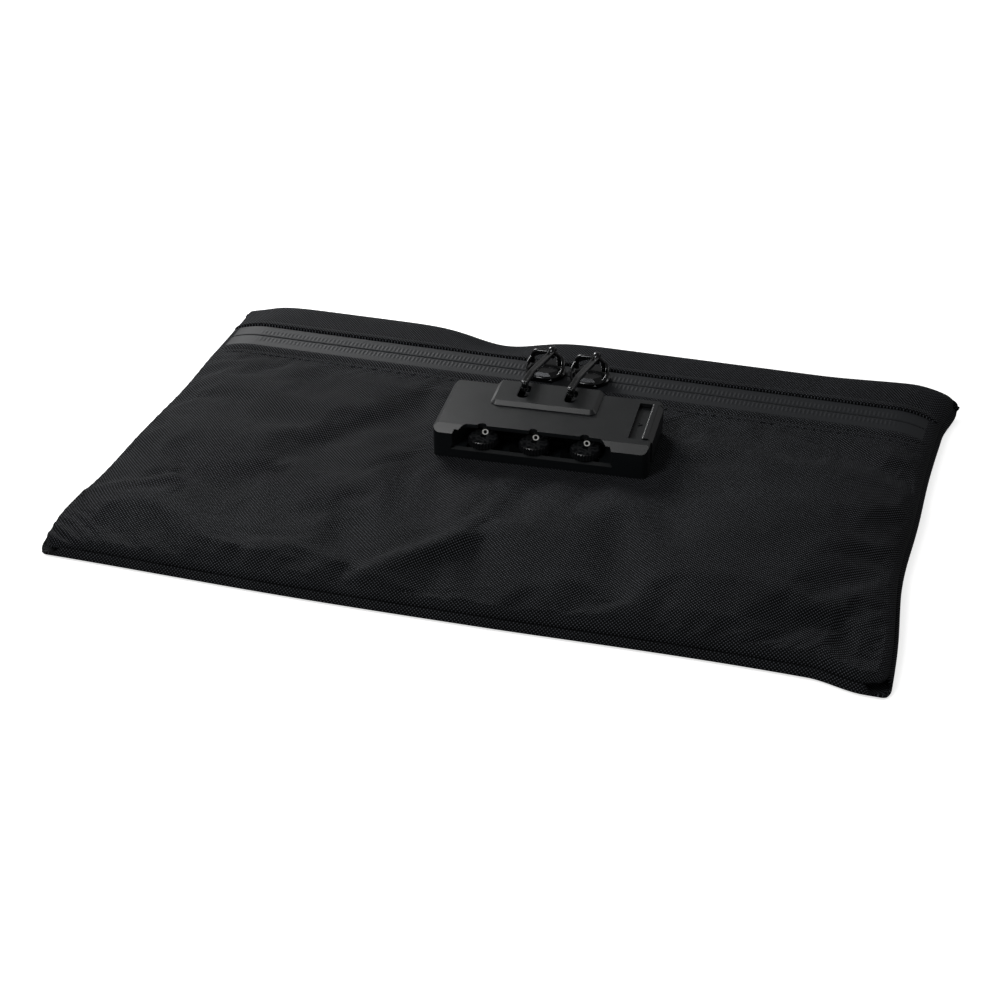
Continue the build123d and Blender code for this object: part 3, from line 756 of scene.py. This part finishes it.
# ------------------------------------------------------------------ stitching
def stitch_row(bm, points, stitch, radius):
    """Adds a row of short threads that follow the points."""
    for a, b in zip(points[:-1], points[1:]):
        along = b - a
        middle = (a + b) / 2
        turn = along.to_track_quat("X", "Z").to_matrix().to_4x4()
        scale = Matrix.Diagonal((stitch * 0.42, radius, radius, 1))
        bmesh.ops.create_icosphere(bm, subdivisions=1, radius=1.0,
                                   matrix=Matrix.Translation(middle) @ turn @ scale)


def row_over_cloth(start, end, y, step, bag, lift):
    """Points of a stitch row across the bag at one distance from the zipper."""
    count = int((end - start) / step)
    points = []
    for i in range(count + 1):
        x = start + i * step
        points.append(Vector((x, y, bag_top(x, y, bag) + lift)))
    return points


class DEPOSITBAG_OT_stitching(bpy.types.Operator):
    """Sew the row of stitches in front of the lower zipper tape"""

    bl_idname = "depositbag.stitching"
    bl_label = "Stitching"

    def execute(self, context):
        bag = context.scene.bag_sizes
        bm = bmesh.new()
        reach = HALF_W - 8 * MM
        row = row_over_cloth(-reach, reach, TAPE_FRONT - 5.6 * MM, bag.stitch, bag, 0.05 * MM)
        stitch_row(bm, row, bag.stitch, 0.28 * MM)
        piece = finish_mesh(bm, "zipper_stitching", MATERIALS["thread"])
        layer = piece.data.uv_layers.new(name="Cloth")
        for loop in piece.data.loops:
            place = piece.data.vertices[loop.vertex_index].co
            layer.data[loop.index].uv = (place.x / MM, place.y / MM)
        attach(piece, "bag")
        return {"FINISHED"}


class DEPOSITBAG_OT_hems(bpy.types.Operator):
    """Fold the cloth over along both edges of the zipper tapes"""

    bl_idname = "depositbag.hems"
    bl_label = "Hems"

    def execute(self, context):
        bag = context.scene.bag_sizes
        # front and back edge of the fold, height over the cloth, depth and pitch of the thread bumps
        folds = (
            ("hem_back", TAPE_BACK - 0.2 * MM, TAPE_BACK + 5.0 * MM, 1.15 * MM, 0.32 * MM, 2.2 * MM),
            ("hem_front", TAPE_FRONT + 0.5 * MM, TAPE_FRONT - 4.0 * MM, 0.55 * MM, 0.12 * MM, 1.4 * MM),
        )
        for name, edge, fade, height, tooth, pitch in folds:
            away = 1 if fade > edge else -1
            bm = bmesh.new()
            layer = bm.loops.layers.uv.new("Cloth")
            bmesh.ops.create_grid(bm, x_segments=900, y_segments=12, size=1.0)
            reach = HALF_W - 3.4 * MM
            for vertex in bm.verts:
                x = vertex.co.x * reach
                t = (vertex.co.y * away + 1) / 2
                wave = tooth * abs(math.sin(math.pi * x / pitch))
                y = edge + (fade - edge) * t ** 1.6
                y -= away * wave * (1 - smooth(0, 0.25, t))
                up = height * math.sin(math.pi * min(0.5, 0.02 + t * 2.4)) * (1 - smooth(0.45, 1.0, t))
                vertex.co = Vector((x, y, bag_top(x, y, bag) + up - 0.25 * MM * smooth(0.8, 1.0, t)))
            for face in bm.faces:
                for loop in face.loops:
                    loop[layer].uv = (loop.vert.co.x / MM, loop.vert.co.y / MM)
            piece = finish_mesh(bm, name, MATERIALS["cloth"])
            add_thickness(piece, 0.45 * MM)
            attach(piece, "bag")
        return {"FINISHED"}


def oval(angle, half_x, half_y, power):
    """A point of a superellipse."""
    c = math.cos(angle)
    s = math.sin(angle)
    x = half_x * math.copysign(abs(c) ** (2 / power), c)
    y = half_y * math.copysign(abs(s) ** (2 / power), s)
    return Vector((x, y, 0))


def tube(bm, points, radius, closed=False, flat=1.0, sides=12):
    """Sweeps a round or flattened section along points."""
    count = len(points)
    rings = []
    for i, place in enumerate(points):
        before = points[(i - 1) % count] if closed or i else place
        after = points[(i + 1) % count] if closed or i < count - 1 else place
        along = (after - before).normalized()
        side = along.cross(Vector((0, 0, 1)))
        if side.length < 0.1:
            side = along.cross(Vector((0, 1, 0)))
        side.normalize()
        up = side.cross(along)
        ring = []
        for j in range(sides):
            turn = math.tau * j / sides
            offset = side * math.cos(turn) * radius * flat + up * math.sin(turn) * radius
            ring.append(bm.verts.new(place + offset))
        rings.append(ring)
    pairs = list(zip(rings, rings[1:] + (rings[:1] if closed else [])))
    for a, b in pairs:
        for j in range(sides):
            k = (j + 1) % sides
            bm.faces.new((a[j], b[j], b[k], a[k]))
    if not closed:
        bm.faces.new(rings[0])
        bm.faces.new(rings[-1])


def pivot(joint):
    """Where a joint's axis passes."""
    found = next(j for j in frame["record"]["behaviour"]["joints"] if j["name"] == joint)
    return Vector(found["pos_m"])


class DEPOSITBAG_OT_sliders(bpy.types.Operator):
    """Cast the oval rim and the bridge of each slider"""

    bl_idname = "depositbag.sliders"
    bl_label = "Slider bridges"

    def execute(self, context):
        for side in ("left", "right"):
            low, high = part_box(f"slider_{side}_body")
            centre = Vector(((low.x + high.x) / 2, ZIP_Y - 1.0 * MM, TOP_Z))
            rod = pivot(f"pull_{side}_swing")
            bm = bmesh.new()
            rim = []
            for i in range(72):
                place = oval(math.tau * i / 72, 6.7 * MM, 6.2 * MM, 2.2)
                rise = 2.0 * MM + 4.6 * MM * smooth(-5.5 * MM, 7.5 * MM, place.y)
                rim.append(centre + place + Vector((0, 0, rise)))
            tube(bm, rim, 0.75 * MM, closed=True, flat=0.9)
            arch = []
            for i in range(25):
                angle = math.pi * i / 24
                across = 5.1 * MM * math.copysign(abs(math.cos(angle)) ** 0.4, math.cos(angle))
                up = math.sin(angle) ** 0.45
                foot = TOP_Z + 4.4 * MM
                arch.append(Vector((centre.x + across, ZIP_Y, foot + (rod.z - foot) * up)))
            tube(bm, arch, 0.85 * MM)
            bmesh.ops.recalc_face_normals(bm, faces=bm.faces)
            piece = finish_mesh(bm, f"slider_{side}_cast_bridge", MATERIALS["metal"])
            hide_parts(f"slider_{side}_bridge")
            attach(piece, f"slider_{side}")
        return {"FINISHED"}


class PullSizes(bpy.types.PropertyGroup):
    """Sizes of a slider pull."""

    reach: length("Reach", "From the bridge rod to the tip of the nose", 39.5 * MM)
    level: length("Level part", "Length of the part that lies level over the lock", 10.5 * MM)
    rise: length("Rise", "How much higher the level part lies than the rod", 5.0 * MM)
    width: length("Width", "Width of the bar", 2.2 * MM)
    depth: length("Depth", "Thickness of the bar", 1.8 * MM)
    nose: length("Nose", "How far the nose reaches below the platform when pushed home", 2.0 * MM)
    tip: length("Tip", "How far the bar reaches past the nose", 0.6 * MM)
    nose_length: length("Nose length", "Along the bar", 2.6 * MM)
    home_gap: length("Home gap", "Bar above the platform when pushed home", 0.15 * MM)
    notch: length("Notch", "How far the catch enters the nose", 0.95 * MM)
    notch_height: length("Notch height", "Height of the notch", 0.9 * MM)
    foot: length("Foot", "What is left below the notch", 0.4 * MM)
    lift: bpy.props.FloatProperty(
        name="Lift", description="Angle at which the pull rests above its slot", default=math.radians(3.4),
        subtype="ANGLE")


def bar_section(width, depth):
    """Rounded bar with a shallow groove along its top."""
    w = width / 2
    d = depth / 2
    r = 0.32 * MM
    groove = 0.27 * width
    half = [(0, d - 0.6 * MM), (groove - 0.12 * MM, d - 0.55 * MM), (groove + 0.02 * MM, d - 0.05 * MM),
            (w - r, d), (w - 0.3 * r, d - 0.3 * r), (w, d - r),
            (w, -d + r), (w - 0.3 * r, -d + 0.3 * r), (w - r, -d)]
    other = [(-a, b) for a, b in reversed(half[1:])]
    return half + other


def add_nose(bm, tip, sizes):
    """Neck, notched middle and foot of the nose; the catch enters the notch from the right."""
    sole = -sizes.depth / 2 - sizes.home_gap - sizes.nose
    roof = sole + sizes.foot + sizes.notch_height
    lap = 0.1 * MM
    half = sizes.width / 2
    blocks = (
        (-half, half, roof, lap, 0.2 * MM),
        (-half, half - sizes.notch, sole + sizes.foot - lap, roof + lap, 0.05 * MM),
        (-half, half, sole, sole + sizes.foot, 0.12 * MM),
    )
    for left, right, low, high, edge in blocks:
        middle = tip + Vector(((left + right) / 2, sizes.nose_length / 2, (low + high) / 2))
        made = bmesh.ops.create_cube(bm, size=1.0, matrix=Matrix.Translation(middle) @ Matrix.Diagonal(
            (right - left, sizes.nose_length, high - low, 1)))
        edges = [e for e in bm.edges if all(v in made["verts"] for v in e.verts)]
        bmesh.ops.bevel(bm, geom=edges, offset=edge, offset_type="OFFSET", segments=2,
                        profile=0.5, affect="EDGES", material=-1)


class DEPOSITBAG_OT_pulls(bpy.types.Operator):
    """Cast the two long pulls with rounded edges, eye and nose"""

    bl_idname = "depositbag.pulls"
    bl_label = "Pulls"

    def execute(self, context):
        sizes = context.scene.pull_sizes
        for side in ("left", "right"):
            low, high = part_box(f"pull_{side}")
            x = (low.x + high.x) / 2
            rod = pivot(f"pull_{side}_swing")
            knee = sizes.reach - sizes.level
            bm = bmesh.new()
            path = []
            for i in range(41):
                run = 1.2 * MM + (sizes.reach + sizes.tip - 1.2 * MM) * i / 40
                rise = sizes.rise * min(run / knee, 1.0)
                ease = 0.05 * MM * bump(run, knee, 5 * MM)
                path.append(Vector((0, -run, rise - ease)))
            section = bar_section(sizes.width, sizes.depth)
            rings = []
            for i, place in enumerate(path):
                along = (path[min(i + 1, 40)] - path[max(i - 1, 0)]).normalized()
                up = Vector((1, 0, 0)).cross(along) * -1
                if up.z < 0:
                    up = -up
                slim = 1.0 if i < 40 else 0.75
                rings.append([bm.verts.new(place + Vector((a * slim, 0, 0)) + up * b * slim)
                              for a, b in section])
            for a, b in zip(rings[:-1], rings[1:]):
                for j in range(len(section)):
                    k = (j + 1) % len(section)
                    bm.faces.new((a[j], b[j], b[k], a[k]))
            bm.faces.new(rings[0])
            bm.faces.new(rings[-1])
            bmesh.ops.create_uvsphere(bm, u_segments=20, v_segments=12, radius=1.0, matrix=Matrix.Translation(
                path[-1] + Vector((0, 1.1 * MM, -0.1 * MM))) @ Matrix.Diagonal(
                (1.1 * MM, 1.3 * MM, 1.15 * MM, 1)))
            add_nose(bm, Vector((0, -sizes.reach, sizes.rise)), sizes)
            eye = []
            for i in range(28):
                turn = math.tau * i / 28
                eye.append(Vector((0, 1.62 * MM * math.cos(turn), 1.62 * MM * math.sin(turn))))
            ring_around(bm, eye, sizes.width)
            bmesh.ops.recalc_face_normals(bm, faces=bm.faces)
            turn = Matrix.Rotation(-sizes.lift, 4, "X")
            bm.transform(Matrix.Translation((x, rod.y, rod.z)) @ turn)
            piece = finish_mesh(bm, f"pull_{side}_cast", MATERIALS["metal"])
            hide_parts(f"pull_{side}")
            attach(piece, f"pull_{side}")
        return {"FINISHED"}


def ring_around(bm, points, width):
    """A flat-sided eye round the rod."""
    sides = ((-0.5, 0.62), (0.5, 0.62), (0.62, 0.3), (0.62, -0.3),
             (0.5, -0.6), (-0.5, -0.6), (-0.62, -0.3), (-0.62, 0.3))
    rings = []
    for place in points:
        out = place.normalized()
        rings.append([bm.verts.new(place + out * b * MM + Vector((a * width / 1.24, 0, 0)))
                      for a, b in sides])
    for a, b in zip(rings, rings[1:] + rings[:1]):
        for j in range(len(sides)):
            k = (j + 1) % len(sides)
            bm.faces.new((a[j], b[j], b[k], a[k]))


# ------------------------------------------------------------------ lock, sliders and dials
NODE_FINISH = {
    "lock_base": "abs", "lock_cover": "abs", "release_button": "abs",
    "lock_fixing_plate": "steel", "lock_clamp_screws": "steel", "latch_bar": "phosphate",
    "latch_spring": "steel", "detent_spring": "phosphate", "back_lining": "lining", "front_lining": "lining",
    "seam_binding": "binding", "zipper_coil_upper": "coil", "zipper_coil_lower": "coil",
    "zipper_stops": "metal",
}


class DEPOSITBAG_OT_finishes(bpy.types.Operator):
    """Give every carried-over part its real finish"""

    bl_idname = "depositbag.finishes"
    bl_label = "Part finishes"

    def execute(self, context):
        finish = dict(NODE_FINISH)
        for side in ("left", "right"):
            finish[f"slider_{side}_body"] = "metal"
            finish[f"slider_{side}_bridge"] = "metal"
            finish[f"pull_{side}"] = "metal"
        for number in (1, 2, 3):
            finish[f"dial_{number}"] = "dial"
            finish[f"code_cam_{number}"] = "zinc"
            finish[f"dial_spindle_{number}"] = "phosphate"
        for name, part in frame["nodes"].items():
            if name not in finish:
                continue
            part.data.materials.clear()
            part.data.materials.append(MATERIALS[finish[name]])
        return {"FINISHED"}


class DEPOSITBAG_OT_digits(bpy.types.Operator):
    """Print the numbers 0 to 9 on every dial"""

    bl_idname = "depositbag.digits"
    bl_label = "Dial numbers"

    def execute(self, context):
        joints = frame["record"]["behaviour"]["joints"]
        turns = {j["child"]: j for j in joints if j["child"].startswith("dial_")}
        for number in (1, 2, 3):
            body = f"dial_{number}"
            centre = Vector(turns[body]["pos_m"])
            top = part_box(body)[1].z
            zero = bmesh.new()
            rest = bmesh.new()
            for digit in range(10):
                curve = bpy.data.curves.new("numeral", "FONT")
                curve.body = str(digit)
                curve.size = 4.4 * MM
                curve.align_x = "CENTER"
                curve.align_y = "CENTER"
                curve.extrude = 0.02 * MM
                text = bpy.data.objects.new("numeral", curve)
                mesh = bpy.data.meshes.new_from_object(text)
                spin = Matrix.Rotation(LOCK_TURN - digit * math.tau / 10, 4, "Z")
                place = Matrix.Translation((centre.x, centre.y, top + 0.03 * MM))
                out = Matrix.Translation((0, 2.7 * MM, 0))
                mesh.transform(place @ spin @ out @ PRINT_TURN @ Matrix.Diagonal((1.15, 1.2, 1, 1)))
                (rest if digit else zero).from_mesh(mesh)
                bpy.data.objects.remove(text)
                bpy.data.curves.remove(curve)
                bpy.data.meshes.remove(mesh)
            for ring, name, ink in ((zero, "zero", "ink"), (rest, "numbers", "dark_ink")):
                piece = finish_mesh(ring, f"dial_{number}_{name}", MATERIALS[ink], shade=False)
                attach(piece, body)
        return {"FINISHED"}


# ------------------------------------------------------------------ stage
def add_area(name, place, target, size, power, tint=(1, 1, 1)):
    light = bpy.data.lights.new(name, "AREA")
    light.shape = "RECTANGLE"
    light.size = size[0]
    light.size_y = size[1]
    light.energy = power
    light.color = tint
    lamp = bpy.data.objects.new(name, light)
    lamp.location = place
    lamp.visible_camera = False
    lamp.rotation_euler = (Vector(target) - Vector(place)).to_track_quat("-Z", "Y").to_euler()
    bpy.context.scene.collection.objects.link(lamp)


class DEPOSITBAG_OT_stage(bpy.types.Operator):
    """Set the floor, the soft lights and the camera"""

    bl_idname = "depositbag.stage"
    bl_label = "Studio"

    def execute(self, context):
        material, _, shader = new_material("Studio floor")
        shader.inputs["Base Color"].default_value = linear(context.scene.bag_colours.floor)
        shader.inputs["Roughness"].default_value = 0.9
        shader.inputs["Emission Color"].default_value = (1, 1, 1, 1)
        shader.inputs["Emission Strength"].default_value = 0.72
        bm = bmesh.new()
        bmesh.ops.create_grid(bm, x_segments=1, y_segments=1, size=6.0)
        floor = finish_mesh(bm, "studio_floor", material)
        floor.visible_diffuse = False
        floor.visible_glossy = False
        world = bpy.data.worlds.new("Studio")
        world.use_nodes = True
        world.node_tree.nodes["Background"].inputs[0].default_value = (1, 1, 1, 1)
        world.node_tree.nodes["Background"].inputs[1].default_value = 0.16
        context.scene.world = world
        add_area("key", (-0.50, 0.50, 0.36), (-0.04, 0, 0), (0.36, 0.22), 2.9)
        add_area("strip", (-0.25, 0.30, 0.20), (-0.02, 0, 0), (0.12, 0.12), 0.22)
        add_area("front", (-0.30, -0.44, 0.68), (-0.02, 0, 0), (0.24, 0.24), 2.5)
        add_area("rim", (0.9, 0.9, 0.6), (0, 0, 0), (0.25, 0.5), 0.8)
        place = Vector((0.165, -0.5916, 0.3757))
        azimuth = math.radians(16.37)
        pitch = math.radians(32.02)
        tilt = math.radians(-0.31)
        run = math.cos(pitch)
        ahead = Vector((-math.sin(azimuth) * run, math.cos(azimuth) * run, -math.sin(pitch)))
        level = Vector((math.cos(azimuth), math.sin(azimuth), 0))
        above = level.cross(ahead)
        right = math.cos(tilt) * level + math.sin(tilt) * above
        up = -math.sin(tilt) * level + math.cos(tilt) * above
        data = bpy.data.cameras.new("camera")
        data.lens = 73.4
        data.sensor_width = 36.0
        camera = bpy.data.objects.new("camera", data)
        turn = Matrix((right, up, -ahead)).transposed().to_4x4()
        camera.matrix_world = Matrix.Translation(place) @ turn
        context.scene.collection.objects.link(camera)
        context.scene.camera = camera
        context.scene.view_settings.view_transform = "Standard"
        return {"FINISHED"}


class DEPOSITBAG_PT_panel(bpy.types.Panel):
    """Lists what the add-on makes"""

    bl_idname = "DEPOSITBAG_PT_panel"
    bl_label = "Deposit bag"
    bl_space_type = "VIEW_3D"
    bl_region_type = "UI"
    bl_category = "Deposit bag"

    def draw(self, context):
        for group in (getattr(context.scene, name) for name in GROUPS):
            for prop in group.bl_rna.properties:
                if not prop.is_readonly and prop.identifier != "name":
                    self.layout.prop(group, prop.identifier)
        for step in STEPS:
            self.layout.operator(step.bl_idname)


STEPS = (
    DEPOSITBAG_OT_stage,
    DEPOSITBAG_OT_finishes,
    DEPOSITBAG_OT_cloth,
    DEPOSITBAG_OT_lining,
    DEPOSITBAG_OT_zipper,
    DEPOSITBAG_OT_stitching,
    DEPOSITBAG_OT_hems,
    DEPOSITBAG_OT_sliders,
    DEPOSITBAG_OT_pulls,
    DEPOSITBAG_OT_digits,
)
GROUPS = {
    "bag_sizes": BagSizes, "zipper_sizes": ZipperSizes,
    "bag_colours": BagColours, "pull_sizes": PullSizes,
}


def register():
    for name, group in GROUPS.items():
        bpy.utils.register_class(group)
        setattr(bpy.types.Scene, name, bpy.props.PointerProperty(type=group))
    for step in STEPS:
        bpy.utils.register_class(step)
    bpy.utils.register_class(DEPOSITBAG_PT_panel)


def unregister():
    bpy.utils.unregister_class(DEPOSITBAG_PT_panel)
    for step in reversed(STEPS):
        bpy.utils.unregister_class(step)
    for name, group in GROUPS.items():
        delattr(bpy.types.Scene, name)
        bpy.utils.unregister_class(group)


def main():
    register()
    scene = bpy.context.scene
    make_materials(scene.bag_colours, scene.bag_sizes)
    for step in STEPS:
        area, action = step.bl_idname.split(".")
        getattr(getattr(bpy.ops, area), action)()


if __name__ == "__main__":
    main()
